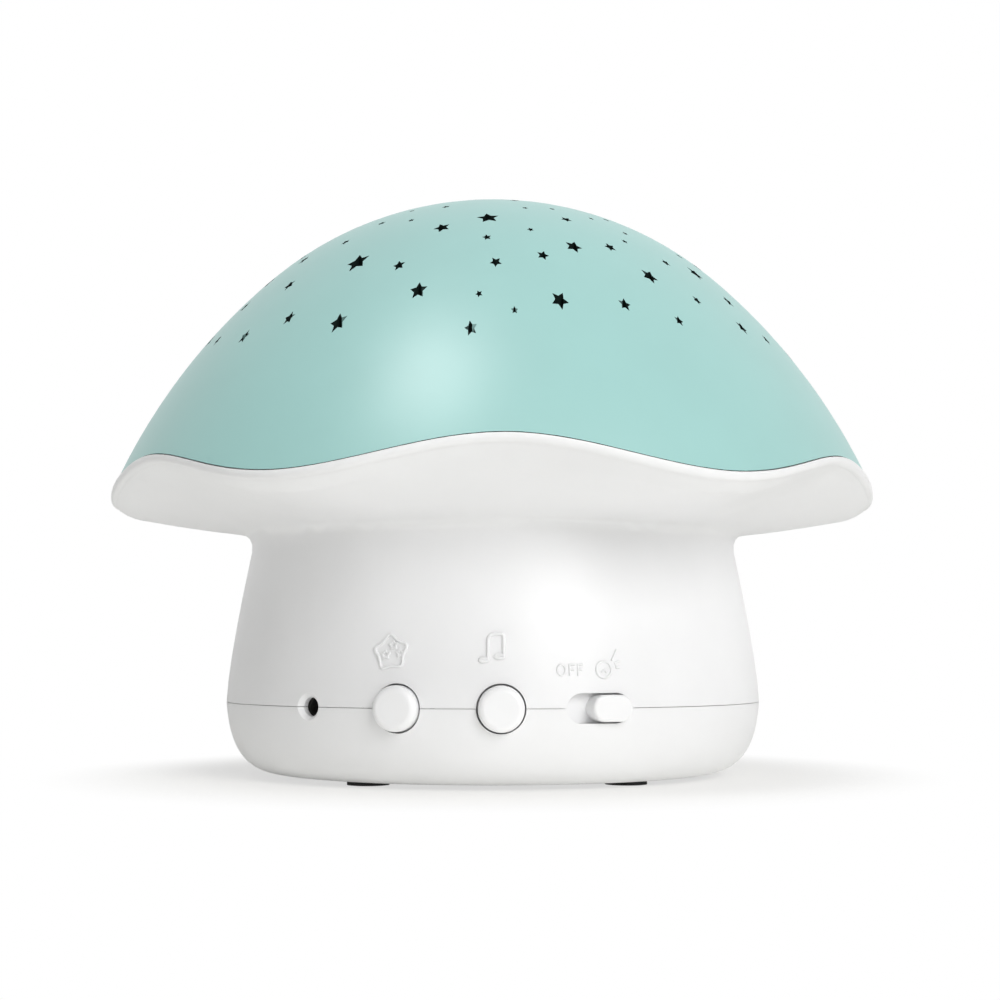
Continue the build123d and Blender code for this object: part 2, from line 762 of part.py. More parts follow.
with BuildPart() as contact_plates:
    for side in (-1, 1):
        end_face = side * bay_half_length
        plate_inner = side * (bay_half_length - contact_thickness)
        for row in (-1, 0, 1):
            y = row * cell_pitch
            add(slab((end_face, y - 5, bay_floor + 2), (plate_inner, y + 5, bay_ceiling - 2)))
        # bridge between two neighbouring cells, and the solder tab of the third
        bridge = side * cell_pitch / 2
        add(slab((end_face, bridge - cell_pitch / 2, cell_height - 2),
                 (plate_inner, bridge + cell_pitch / 2, cell_height + 2)))
        add(slab((plate_inner, -side * cell_pitch - terminal_width / 2, terminal_level),
                 (side * (bay_outer + 1.2), -side * cell_pitch + terminal_width / 2,
                  terminal_level + contact_thickness)))
contact_plates.part.label = "contact_plates"
export_step(contact_plates.part, "parts/contact_plates.step")

spring_room = bay_half_length - contact_thickness + minus_end  # between the plate and the flat end of a cell
spring_turns = 3
coil_height = spring_room - spring_wire - 0.1
with BuildPart() as contact_springs:
    for name, y, facing in cells:
        start = -(bay_half_length - contact_thickness - spring_wire / 2 - 0.05) * facing
        with BuildLine():
            coil = Helix(coil_height / spring_turns, coil_height, spring_radius,
                         center=(start, y, cell_height), direction=(facing, 0, 0))
        with BuildSketch(Plane(origin=coil @ 0, z_dir=coil % 0)):
            Circle(spring_wire / 2)
        sweep(path=coil, is_frenet=True)
contact_springs.part.label = "contact_springs"
export_step(contact_springs.part, "parts/contact_springs.step")

# ---------------------------------------------------------------- buttons and their switches

for title, azimuth in (("light", light_azimuth), ("music", music_azimuth)):
    plunger_tip = button_flange_face - button_flange_thickness - 1.0
    with BuildPart() as button:
        with BuildSketch(wall_plane(azimuth, button_flange_face, seam_height)):
            Circle(button_radius)
        extrude(amount=seam_radius + button_proud - button_flange_face)
        face_edge = button.edges().filter_by(GeomType.CIRCLE).sort_by(
            lambda edge: edge.center().dot(at(azimuth, 1, 0)))[-1]
        fillet(face_edge, 1.3)
        with BuildSketch(wall_plane(azimuth, button_flange_face, seam_height)):
            Circle(button_flange)
        extrude(amount=-button_flange_thickness)
        with BuildSketch(wall_plane(azimuth, plunger_tip, seam_height)):
            Circle(button_stem)
        extrude(amount=1.5)
    button.part.label = f"{title}_button"
    export_step(button.part, f"parts/{title}_button.step")

    with BuildPart() as plunger:
        with BuildSketch(wall_plane(azimuth, plunger_tip, seam_height)):
            Circle(plunger_radius)
        extrude(amount=-plunger_length)
    plunger.part.label = f"{title}_switch_plunger"
    export_step(plunger.part, f"parts/{title}_switch_plunger.step")

    with BuildPart() as switch:
        add(panel_block(switch_width, switch_height, switch_face - switch_depth, switch_face, azimuth,
                        board_top + switch_height / 2))
        bore_end = plunger_tip - plunger_length - button_travel - moving_gap
        add(turned(plunger_radius + plunger_gap, bore_end, switch_face + 1, azimuth, seam_height),
            mode=Mode.SUBTRACT)
    switch.part.label = f"{title}_switch_body"
    export_step(switch.part, f"parts/{title}_switch_body.step")

# ---------------------------------------------------------------- slide switch

knob_shift = knob_travel / 2  # the knob rests at the right-hand end of the slot
plate_back = plate_face - plate_thickness
lever_inner_end = wall_face - lever_setback
slide_body_face = wall_face - slide_body_setback
with BuildPart() as slide_knob:
    add(panel_block(plate_length, plate_height, plate_back, plate_face, slide_azimuth, seam_height,
                    knob_shift))
    add(panel_block(knob_length, knob_height, plate_back, seam_radius + knob_proud, slide_azimuth,
                    seam_height, knob_shift, rounded=True))
    top = slide_knob.faces().sort_by(lambda face: face.center().dot(at(slide_azimuth, 1, 0)))[-1]
    fillet(top.edges(), 0.6)
    for side in (-1, 1):
        middle = knob_shift + side * (lever_width / 2 + lever_gap + prong_width / 2)
        add(panel_block(prong_width, 3.0, plate_back - prong_length, plate_back, slide_azimuth, seam_height,
                        middle))
slide_knob.part.label = "slide_knob"
export_step(slide_knob.part, "parts/slide_knob.step")

with BuildPart() as slide_lever:
    add(panel_block(lever_width, lever_width, lever_inner_end, plate_back - lever_gap, slide_azimuth,
                    seam_height, knob_shift))
slide_lever.part.label = "slide_lever"
export_step(slide_lever.part, "parts/slide_lever.step")

with BuildPart() as slide_switch_body:
    add(panel_block(slide_body_length, slide_body_height, slide_body_face - slide_body_depth, slide_body_face,
                    slide_azimuth, board_top + slide_body_height / 2))
    add(panel_block(lever_width + knob_travel + 2 * moving_gap, lever_width + 2 * moving_gap,
                    lever_inner_end - moving_gap, slide_body_face + 1, slide_azimuth, seam_height),
        mode=Mode.SUBTRACT)
slide_switch_body.part.label = "slide_switch_body"
export_step(slide_switch_body.part, "parts/slide_switch_body.step")

# ---------------------------------------------------------------- DC jack

with BuildPart() as dc_jack:
    add(panel_block(jack_width, jack_height, jack_face - jack_length, jack_face, jack_azimuth,
                    board_top + jack_height / 2))
    add(turned(jack_bore, jack_face - jack_mouth_depth - 0.1, jack_face + 1, jack_azimuth, seam_height),
        mode=Mode.SUBTRACT)
    chamber_end = jack_face - jack_mouth_depth
    add(turned(jack_chamber, jack_face - jack_bore_depth, chamber_end, jack_azimuth, seam_height),
        mode=Mode.SUBTRACT)
dc_jack.part.label = "dc_jack"
export_step(dc_jack.part, "parts/dc_jack.step")

with BuildPart() as dc_jack_pin:
    add(turned(jack_pin, jack_face - jack_bore_depth, jack_face - jack_pin_recess, jack_azimuth, seam_height))
    fillet(dc_jack_pin.edges().filter_by(GeomType.CIRCLE).sort_by(lambda edge: edge.center().Y)[0], 0.4)
dc_jack_pin.part.label = "dc_jack_pin"
export_step(dc_jack_pin.part, "parts/dc_jack_pin.step")

# ---------------------------------------------------------------- control board and what it carries

with BuildPart() as control_board:
    with BuildSketch(Plane.XY.offset(board_top - board_thickness)):
        Circle(wall_face - board_setback)
        with Locations((0, board_edge + overall_width / 2)):
            Rectangle(overall_width, overall_width, mode=Mode.SUBTRACT)
        with Locations(*board_boss_places):
            Circle(screw_shank + 0.3, mode=Mode.SUBTRACT)
    extrude(amount=board_thickness)
control_board.part.label = "control_board"
export_step(control_board.part, "parts/control_board.step")

board_screws = screws(Plane.XY.offset(board_top), board_boss_places, 6)
board_screws.part.label = "board_screws"
export_step(board_screws.part, "parts/board_screws.step")

chip_place = (8.0, board_edge - 5.5)
with BuildPart() as control_chip:
    add(slab((chip_place[0] - 5, chip_place[1] - 2, board_top),
             (chip_place[0] + 5, chip_place[1] + 2, board_top + 1.5)))
    pins = 8
    for row in (-1, 1):
        for pin in range(pins):
            x = chip_place[0] + (pin - (pins - 1) / 2) * 1.2
            edge_y = chip_place[1] + row * 2.5
            add(slab((x - 0.2, edge_y - 0.5, board_top), (x + 0.2, edge_y + 0.5, board_top + 0.5)))
control_chip.part.label = "control_chip"
export_step(control_chip.part, "parts/control_chip.step")

with BuildPart() as capacitors:
    with BuildSketch(Plane.XY.offset(board_top)):
        with Locations((18.0, board_edge - 4.5), (24.0, board_edge - 3.0)):
            Circle(2.5)
    extrude(amount=7)
    fillet(capacitors.edges().filter_by(GeomType.CIRCLE).group_by(Axis.Z)[-1], 0.5)
capacitors.part.label = "capacitors"
export_step(capacitors.part, "parts/capacitors.step")

# ---------------------------------------------------------------- light unit

deck_top = deck_bottom + deck_thickness
led_board_bottom = deck_top + led_holder_height
led_board_top = led_board_bottom + led_board_thickness
with BuildPart() as light_deck:
    with BuildSketch(Plane.XY.offset(deck_bottom)):
        Circle(deck_radius)
        Circle(deck_hole, mode=Mode.SUBTRACT)
        with Locations(*circle_places(deck_screw_circle, deck_screw_azimuths)):
            Circle(screw_shank + 0.3, mode=Mode.SUBTRACT)
    extrude(amount=deck_thickness)
light_deck.part.label = "light_deck"
export_step(light_deck.part, "parts/light_deck.step")

deck_screws = screws(Plane.XY.offset(deck_top), circle_places(deck_screw_circle, deck_screw_azimuths), 7)
deck_screws.part.label = "deck_screws"
export_step(deck_screws.part, "parts/deck_screws.step")

with BuildPart() as led_holder:
    with BuildSketch(Plane.XY.offset(deck_top)):
        Circle(led_holder_outer)
        Circle(led_holder_inner, mode=Mode.SUBTRACT)
    extrude(amount=led_holder_height)
led_holder.part.label = "led_holder"
export_step(led_holder.part, "parts/led_holder.step")

with BuildPart() as led_board:
    with BuildSketch(Plane.XY.offset(led_board_bottom)):
        Circle(led_board_radius)
    extrude(amount=led_board_thickness)
led_board.part.label = "led_board"
export_step(led_board.part, "parts/led_board.step")

with BuildPart() as leds:
    with BuildSketch(Plane.XY.offset(led_board_top)):
        with PolarLocations(led_circle, 3):
            Rectangle(led_size, led_size)
    extrude(amount=led_height)
    chamfer(leds.edges().filter_by(Axis.Z), 0.5)
leds.part.label = "leds"
export_step(leds.part, "parts/leds.step")

with BuildPart() as led_shade:
    with BuildSketch(Plane.XY.offset(deck_top)):
        Circle(shade_outer)
        Circle(shade_inner, mode=Mode.SUBTRACT)
    extrude(amount=shade_height)
led_shade.part.label = "led_shade"
export_step(led_shade.part, "parts/led_shade.step")

# ---------------------------------------------------------------- loudspeaker

speaker_axis = Axis((0, 0, speaker_height), (0, 1, 0))
basket_back = clamp_face - basket_depth
cone_rim = basket_radius - 0.85
basket_sheet = 0.8


def turned_profile(points):
    """Piece turned about the loudspeaker's axis, from points at (distance from the object's axis, radius)."""
    with BuildPart() as piece:
        with BuildSketch(Plane.YZ):
            with BuildLine():
                Polyline(*[(distance, speaker_height + radius) for distance, radius in points], close=True)
            make_face()
        revolve(axis=speaker_axis)
    return piece


speaker_frame = turned_profile([
    (speaker_seat, speaker_radius),
    (clamp_face, speaker_radius),
    (clamp_face, basket_radius),
    (basket_back, basket_radius - 2),
    (basket_back, 2),
    (basket_back + basket_sheet, 2),
    (basket_back + basket_sheet, basket_radius - 2 - basket_sheet),
    (clamp_face + 0.3, basket_radius - basket_sheet),
    (speaker_seat, basket_radius - basket_sheet),
])
speaker_frame.part.label = "speaker_frame"
export_step(speaker_frame.part, "parts/speaker_frame.step")

speaker_cone = turned_profile([
    (speaker_seat - 0.1, cone_rim),
    (speaker_seat - 0.5, cone_rim),
    (speaker_seat - 3.0, 3.4),
    (speaker_seat - 3.0, 0),
    (speaker_seat - 2.4, 0),
    (speaker_seat - 2.6, 3.0),
])
speaker_cone.part.label = "speaker_cone"
export_step(speaker_cone.part, "parts/speaker_cone.step")

with BuildPart() as speaker_magnet:
    add(turned(magnet_radius, basket_back - magnet_thickness, basket_back, 180, speaker_height))
    chamfer(speaker_magnet.edges().filter_by(GeomType.CIRCLE).group_by(Axis.Y)[0], 0.4)
speaker_magnet.part.label = "speaker_magnet"
export_step(speaker_magnet.part, "parts/speaker_magnet.step")

clamp_back = clamp_face - clamp_thickness
with BuildPart() as speaker_clamp:
    with BuildSketch(wall_plane(180, clamp_back, speaker_height)):
        Circle(speaker_radius)
        SlotCenterToCenter(2 * clamp_ear_place, 2 * clamp_ear_radius)
        Circle(basket_radius + moving_gap, mode=Mode.SUBTRACT)
        with Locations((-clamp_ear_place, 0), (clamp_ear_place, 0)):
            Circle(screw_shank + 0.25, mode=Mode.SUBTRACT)
    extrude(amount=clamp_thickness)
speaker_clamp.part.label = "speaker_clamp"
export_step(speaker_clamp.part, "parts/speaker_clamp.step")

speaker_screws = screws(
    Plane(origin=(0, clamp_back, speaker_height), x_dir=(1, 0, 0), z_dir=(0, -1, 0)),
    [(-clamp_ear_place, 0), (clamp_ear_place, 0)], clamp_thickness + speaker_screw_grip,
)
speaker_screws.part.label = "speaker_screws"
export_step(speaker_screws.part, "parts/speaker_screws.step")

# ---------------------------------------------------------------- inner leads, soldered at both ends


def lead(points, radii):
    """Round lead along a rounded route."""
    with BuildPart() as wire:
        with BuildLine():
            route = FilletPolyline(*points, radius=radii)
        with BuildSketch(Plane(origin=route @ 0, z_dir=route % 0)):
            Circle(lead_radius)
        sweep(path=route)
    return wire.part


pad_level = board_top + 0.05
led_pad = led_board_bottom - 0.05
with BuildPart() as led_leads:
    for top_x, pad_x in ((-2.4, -4.4), (0, -2), (2.4, 0.4)):
        add(lead([
            (top_x, -2, led_pad),
            (top_x, -2, deck_bottom - 14),
            (pad_x, board_edge - 3.5, 26),
            (pad_x, board_edge - 3.5, pad_level),
        ], [6, 5]))
led_leads.part.label = "led_leads"
export_step(led_leads.part, "parts/led_leads.step")

with BuildPart() as speaker_leads:
    for pad_x, rise in ((9.0, 2), (11.4, -2)):
        start = (7.8, basket_back - 0.05, speaker_height + rise)
        turn = (7.8, basket_back - 7, speaker_height - 1 + rise)
        above_pad = (pad_x, board_edge - 1.2, 25 + rise / 2)
        add(lead([start, turn, above_pad, (pad_x, board_edge - 1.2, pad_level)], [8, 4]))
speaker_leads.part.label = "speaker_leads"
export_step(speaker_leads.part, "parts/speaker_leads.step")

lead_line = bay_outer + 1.2 + lead_radius + 0.05
lead_level = terminal_level + contact_thickness / 2
battery_routes = (("battery_lead_red", 1, -cell_pitch), ("battery_lead_black", -1, cell_pitch))
for name, side, terminal_y in battery_routes:
    with BuildPart() as battery_lead:
        add(lead([
            (side * lead_line, terminal_y + 1.2, lead_level),
            (side * lead_line, -24, lead_level + 1.5),
            (side * 37, board_edge - 1, lead_level + 2),
            (side * 37, board_edge - 1, pad_level),
        ], [6, 2]))
    battery_lead.part.label = name
    export_step(battery_lead.part, f"parts/{name}.step")
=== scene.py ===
"""Looks of a mushroom-shaped star night light, as an add-on whose operators finish its pieces one by one.

Metres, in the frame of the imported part: +Z up, the controls face -Y, the floor is at z = 0.
"""

import json
from functools import lru_cache
from math import atan2, cos, dist, pi, radians, sin, sqrt, tan

import bmesh
import bpy
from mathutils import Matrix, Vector


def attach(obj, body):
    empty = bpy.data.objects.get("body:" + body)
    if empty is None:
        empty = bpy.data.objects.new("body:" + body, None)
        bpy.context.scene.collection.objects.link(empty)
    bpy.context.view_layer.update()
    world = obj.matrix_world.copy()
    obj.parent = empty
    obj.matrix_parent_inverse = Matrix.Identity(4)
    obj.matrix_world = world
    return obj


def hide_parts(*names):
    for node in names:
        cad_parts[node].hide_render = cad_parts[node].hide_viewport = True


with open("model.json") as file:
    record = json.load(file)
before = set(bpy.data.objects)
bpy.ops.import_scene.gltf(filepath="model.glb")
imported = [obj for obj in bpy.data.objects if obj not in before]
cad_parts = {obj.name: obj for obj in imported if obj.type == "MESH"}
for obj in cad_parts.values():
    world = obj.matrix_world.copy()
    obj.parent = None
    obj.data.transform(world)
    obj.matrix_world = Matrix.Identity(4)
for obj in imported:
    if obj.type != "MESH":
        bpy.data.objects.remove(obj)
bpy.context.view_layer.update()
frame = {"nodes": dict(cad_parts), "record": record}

bl_info = {
    "name": "Star night light",
    "version": (1, 0, 0),
    "blender": (4, 5, 0),
    "location": "3D View > Sidebar > Night light",
    "description": "Finishes the pieces of a mushroom-shaped star night light",
    "category": "Object",
}

MM = 0.001


# ---------------------------------------------------------------- settings


class ShellSettings(bpy.types.PropertyGroup):
    """Colours and surface of the moulded shells."""

    dome_colour: bpy.props.StringProperty(
        name="Dome colour", description="Teal of the star dome, as an sRGB hex value", default="#9BC8C4")
    # Dark colour of the dome's inner faces and star-hole walls: a painted shade standing in for the shade inside the
    # star holes.
    hole_shade_colour: bpy.props.StringProperty(
        name="Lining colour", description="Dark lining inside the dome, as an sRGB hex value", default="#18211F")
    shell_colour: bpy.props.StringProperty(
        name="Shell colour", description="White of the body and base, as an sRGB hex value", default="#F1F1F2")
    control_colour: bpy.props.StringProperty(
        name="Control colour", description="White of the buttons and the slide knob, as an sRGB hex value",
        default="#F5F5F6")
    grain_size: bpy.props.FloatProperty(
        name="Grain size", description="Width of one bump of the mould's spark-eroded texture",
        default=0.35 * MM, min=0.05 * MM, max=2 * MM, subtype="DISTANCE", unit="LENGTH")
    crease_angle: bpy.props.FloatProperty(
        name="Crease angle", description="Edges sharper than this stay crisp",
        default=radians(32), min=0, max=pi, subtype="ANGLE", unit="ROTATION")


class IconSettings(bpy.types.PropertyGroup):
    """Raised icons over the controls."""

    line_width: bpy.props.FloatProperty(
        name="Line width", description="Width of the raised outlines",
        default=0.6 * MM, min=0.1 * MM, max=2 * MM, subtype="DISTANCE", unit="LENGTH")
    line_height: bpy.props.FloatProperty(
        name="Line height", description="How far the outlines stand out of the stem",
        default=0.22 * MM, min=0.02 * MM, max=1 * MM, subtype="DISTANCE", unit="LENGTH")


class StageSettings(bpy.types.PropertyGroup):
    """Floor, lamps and camera."""

    floor_colour: bpy.props.StringProperty(
        name="Floor colour", description="Pale floor near the object, as an sRGB hex value", default="#FBFBF8")
    # The darker floor colour that the camera sees near the object is a painted shadow.
    shadow_colour: bpy.props.StringProperty(
        name="Shadow colour", description="Floor as seen beside the object, as an sRGB hex value", default="#E2E1DC")
    floor_glow: bpy.props.FloatProperty(
        name="Floor glow", description="Light that the floor sends up under the object", default=0.13, min=0)
    key_strength: bpy.props.FloatProperty(
        name="Key lamp", description="Power of the low lamp at the front right", default=5.1, min=0,
        subtype="POWER", unit="POWER")
    top_strength: bpy.props.FloatProperty(
        name="Top lamp", description="Power of the lamp above the front", default=3.4, min=0,
        subtype="POWER", unit="POWER")
    left_strength: bpy.props.FloatProperty(
        name="Surroundings, left", description="Brightness of the surroundings at the left", default=0.1, min=0)
    right_strength: bpy.props.FloatProperty(
        name="Surroundings, right", description="Brightness of the surroundings at the right", default=0.5, min=0)


# ---------------------------------------------------------------- dimensions

# Half sections of the outer faces, in millimetres from the axis and above the floor: the control points of
# the stem's and the base's curves, and the centres and sizes of the dome's crown arc and flank arc.
STEM_CURVE = ((57.9, 15.9), (57.6, 23.9), (54.9, 37.8), (52.9, 47.8))
BASE_CURVE = ((46.5, 0.8), (53.6, 0.8), (57.2, 6.0), (57.9, 15.7))
CROWN_CENTRE = Vector((0.0, 51.22))
FLANK_CENTRE = Vector((-37.06, 10.06))
CROWN_ANGLE = radians(42)
FLANK_RADIUS = 129.77

# The wavy joint between dome and body: mean height, height of the waves and their number, and how far the
# body's lip stands out of the dome.
JOINT_HEIGHT = 62.3
WAVE_HEIGHT = 3.0
WAVE_COUNT = 6
LIP_PROUD = 0.3

# How far each shell's edge is moved over the seam, and the reach about the seam in which its edge is looked for,
# in millimetres.
SEAM_TRAVEL = 0.05
SEAM_REACH = 0.02

# Corners closer than this are one corner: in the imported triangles, in a path, and at the end caps of a new piece.
TRIANGLE_JOIN = 0.002 * MM
PATH_JOIN = 0.02 * MM
CAP_JOIN = 0.001 * MM

# Faces turned less than this from the uncut surface take its direction.
FACE_TURN = radians(20)

# A distance from the axis that is outside the stem, from which paths are laid on it.
CLEAR_REACH = 70 * MM

# New pieces stay crisp at edges sharper than this.
NEW_CREASE = radians(50)

# Names of the materials, by the record's slots; the first operator fills it.
MATERIAL_NAMES = {}

# The dome's plastic carries a dark painted shade where its faces turn away from the crown's outward direction,
# standing in for the shade inside the star holes, and is teal where they turn towards it: the cosines at which the one
# ends and the other begins, and the teal's share of reflection.
HOLE_SHADE_TURN = 0.8
TEAL_TURN = 0.93
TEAL_REFLECTION = 0.5

# The painted shadow under the object, laid over the shadow that really falls on the floor, is whole up to the first
# distance from the axis and gone at the second; even there the floor is partly plain white.
SHADOW_REACH = (58 * MM, 100 * MM)
SHADOW_WHITE = 0.6

# Lamps: place, aimed at, and side of the square, in metres.
KEY_LAMP = ((0.46, -0.85, 0.52), (0, 0, 0.05), 0.5)
TOP_LAMP = ((-0.24, -0.36, 0.97), (0, 0, 0.08), 0.34)

CAMERA_PLACE = (-10.5 * MM, -392.0 * MM, 26.7 * MM)
CAMERA_TURN = (radians(94.86), 0, radians(-1.76))
CAMERA_LENS = 63.8


# ---------------------------------------------------------------- material tools


def linear(hex_value):
    """sRGB hex to a linear RGBA colour."""
    channels = [int(hex_value[i:i + 2], 16) / 255 for i in (1, 3, 5)]
    return tuple(c / 12.92 if c <= 0.04045 else ((c + 0.055) / 1.055) ** 2.4 for c in channels) + (1.0,)


def add_node(tree, kind, links=None, **settings):
    """Adds a node, sets its attributes and sockets, and links sockets to others."""
    node = tree.nodes.new(kind)
    for name, value in settings.items():
        if hasattr(node, name):
            setattr(node, name, value)
        else:
            node.inputs[name.replace("_", " ")].default_value = value
    for name, socket in (links or {}).items():
        tree.links.new(socket, node.inputs[name])
    return node


def new_material(name):
    """An empty node material and its output."""
    material = bpy.data.materials.new(name)
    material.use_nodes = True
    material.node_tree.nodes.clear()
    output = material.node_tree.nodes.new("ShaderNodeOutputMaterial")
    return material, material.node_tree, output


def surface(tree, output, shader):
    """Links a shader to the material's surface."""
    tree.links.new(shader.outputs[0], output.inputs["Surface"])


def grain_normal(tree, size, height, detail=2.0):
    """Bump of a fine cellular grain of a real size."""
    place = add_node(tree, "ShaderNodeTexCoord")
    noise = add_node(tree, "ShaderNodeTexNoise", {"Vector": place.outputs["Object"]}, Scale=1 / size, Detail=detail)
    return add_node(tree, "ShaderNodeBump", {"Height": noise.outputs["Fac"]}, Strength=0.35, Distance=height)


def shaded_colour(tree, colour, spread, size):
    """Faint cloudy variation of a moulded colour."""
    place = add_node(tree, "ShaderNodeTexCoord")
    cloud = add_node(tree, "ShaderNodeTexNoise", {"Vector": place.outputs["Object"]}, Scale=1 / size, Detail=3.0)
    ramp = add_node(tree, "ShaderNodeValToRGB", {"Fac": cloud.outputs["Fac"]})
    ramp.color_ramp.elements[0].position = 0.3
    ramp.color_ramp.elements[1].position = 0.7
    ramp.color_ramp.elements[0].color = tuple(c * (1 - spread) for c in colour[:3]) + (1.0,)
    ramp.color_ramp.elements[1].color = colour
    return ramp


def moulded_plastic(name, colour, roughness, grain, grain_height=0.004 * MM, ior=1.53, translucent=0.0):
    """Injection-moulded plastic: one colour all through, a soft sheen and the mould's fine grain."""
    material, tree, output = new_material(name)
    cloud = shaded_colour(tree, colour, 0.03, 18 * MM)
    bump = grain_normal(tree, grain, grain_height)
    shader = add_node(
        tree, "ShaderNodeBsdfPrincipled", {"Base Color": cloud.outputs["Color"], "Normal": bump.outputs["Normal"]},
        Roughness=roughness, IOR=ior, Subsurface_Weight=translucent, Subsurface_Scale=1.5 * MM,
    )
    shader.inputs["Subsurface Radius"].default_value = (1.0, 1.0, 1.0)
    surface(tree, output, shader)
    return material


def dome_plastic(shell):
    """Satin ABS outside and a dark painted shade inside, which stands in for the shade in the star holes and reflects
    nothing; the cut edges of the stars run from one to the other.
    """
    material = moulded_plastic("teal_satin_abs", linear(shell.dome_colour), 0.36, shell.grain_size)
    tree = material.node_tree
    shader = next(node for node in tree.nodes if node.type == "BSDF_PRINCIPLED")
    outside = shader.inputs["Base Color"].links[0].from_socket
    place = add_node(tree, "ShaderNodeTexCoord")
    facing = add_node(tree, "ShaderNodeNewGeometry")
    middle = add_node(tree, "ShaderNodeVectorMath", {0: place.outputs["Object"]}, operation="SUBTRACT")
    middle.inputs[1].default_value = (0, 0, CROWN_CENTRE.y * MM)
    outward = add_node(tree, "ShaderNodeVectorMath", {0: middle.outputs["Vector"]}, operation="NORMALIZE")
    turn = add_node(tree, "ShaderNodeVectorMath",
                    {0: outward.outputs["Vector"], 1: facing.outputs["True Normal"]}, operation="DOT_PRODUCT")
    share = add_node(tree, "ShaderNodeMapRange", {"Value": turn.outputs["Value"]},
                     From_Min=HOLE_SHADE_TURN, From_Max=TEAL_TURN)
    gloss = add_node(tree, "ShaderNodeMath", {0: share.outputs["Result"]}, operation="MULTIPLY")
    gloss.inputs[1].default_value = TEAL_REFLECTION
    tree.links.new(gloss.outputs[0], shader.inputs["Specular IOR Level"])
    colour = add_node(tree, "ShaderNodeMix", data_type="RGBA")
    tree.links.new(share.outputs["Result"], colour.inputs[0])
    # Faces turned away from the crown get the dark painted shade of the star holes.
    colour.inputs[6].default_value = linear(shell.hole_shade_colour)
    tree.links.new(outside, colour.inputs[7])
    tree.links.new(colour.outputs[2], shader.inputs["Base Color"])
    return material


def plain_metal(name, colour, roughness, scratch):
    """Turned or stamped metal with fine handling scratches that vary its gloss."""
    material, tree, output = new_material(name)
    place = add_node(tree, "ShaderNodeTexCoord")
    noise = add_node(tree, "ShaderNodeTexNoise", {"Vector": place.outputs["Object"]}, Scale=1 / scratch, Detail=4.0)
    gloss = add_node(tree, "ShaderNodeMapRange", {"Value": noise.outputs["Fac"]},
                     To_Min=roughness * 0.8, To_Max=roughness * 1.3)
    shader = add_node(tree, "ShaderNodeBsdfPrincipled", {"Roughness": gloss.outputs["Result"]},
                      Base_Color=colour, Metallic=1.0)
    surface(tree, output, shader)
    return material


# ---------------------------------------------------------------- materials by the record's slots


def build_materials(shell):
    """One procedural material for each material slot of the record."""
    grain = shell.grain_size
    white = linear(shell.shell_colour)
    return {
        # Teal ABS, satin mould finish: broad soft highlights and a paler sheen at grazing angles; its inner faces and
        # star-hole walls carry a dark painted shade.
        "dome_plastic": dome_plastic(shell),
        # White ABS, satin mould finish: a little light passes into it, so shadows stay soft.
        "white_plastic": moulded_plastic("white_satin_abs", white, 0.4, grain, translucent=0.15),
        # White polished ABS of the parts that fingers touch: a tighter highlight than the shells.
        "button_plastic": moulded_plastic("white_polished_abs", linear(shell.control_colour), 0.3, grain,
                                          0.002 * MM),
        # Black nylon of the switches, the jack and the light shade, with a dull sheen: its charcoal grey, lighter than
        # black, is painted light that lifts the jack's unlit hole.
        "black_plastic": moulded_plastic("black_nylon", linear("#3B3C3A"), 0.5, grain),
        # Black silicone rubber feet: matt, slightly dusty.
        "foot_rubber": moulded_plastic("black_silicone_rubber", linear("#1B1B1B"), 0.75, 0.8 * MM),
        # Zinc-plated steel screws: bluish grey, worn bright.
        "screw_steel": plain_metal("zinc_plated_steel", linear("#B9BDC0"), 0.35, 0.6 * MM),
        # Tinned steel can of the slide switch.
        "switch_steel": plain_metal("tinned_steel", linear("#C4C4C2"), 0.3, 1.2 * MM),
        # Nickel-plated spring steel contacts: warm and bright.
        "nickel_contact": plain_metal("nickel_plate", linear("#CFC9BE"), 0.2, 0.8 * MM),
        # Printed film around the cells, plain dark green.
        "cell_jacket": moulded_plastic("cell_film", linear("#2F6B4F"), 0.3, 2 * MM),
        # Glass-epoxy board under green solder mask.
        "board_laminate": moulded_plastic("solder_mask", linear("#1F6B3A"), 0.35, 1.2 * MM),
        # Aluminium cans of the capacitors.
        "capacitor_can": plain_metal("drawn_aluminium", linear("#B8BABD"), 0.28, 0.5 * MM),
        # Silicone lens over the LEDs, pale yellow phosphor.
        "led_lens": moulded_plastic("phosphor_silicone", linear("#EFE3A0"), 0.2, 1 * MM, translucent=0.3),
        # Zinc-plated pressed steel of the loudspeaker.
        "speaker_steel": plain_metal("pressed_steel", linear("#A9ABAE"), 0.4, 1.5 * MM),
        # Black paper cone with a fibrous surface.
        "cone_paper": moulded_plastic("paper_cone", linear("#1D1D1F"), 0.9, 0.3 * MM, 0.03 * MM),
        # PVC insulation of the inner leads.
        "lead_white": moulded_plastic("white_pvc_lead", linear("#E8E6E0"), 0.45, 0.8 * MM),
        "lead_red": moulded_plastic("red_pvc_lead", linear("#B3201D"), 0.45, 0.8 * MM),
        "lead_black": moulded_plastic("black_pvc_lead", linear("#1A1A1A"), 0.45, 0.8 * MM),
    }


# ---------------------------------------------------------------- mesh tools


def body_of(node):
    """The CAD body that a node belongs to."""
    for body, members in frame["record"]["behaviour"]["bodies"].items():
        if node in members:
            return body
    raise ValueError(f"no body holds {node}")


def slot_of(node):
    """The record's material slot of a node."""
    return next(part["material_slot"] for part in frame["record"]["subparts"] if part["node"] == node)


def select_only(piece):
    """Deselects everything and makes one object selected and active."""
    bpy.ops.object.select_all(action="DESELECT")
    piece.select_set(True)
    bpy.context.view_layer.objects.active = piece


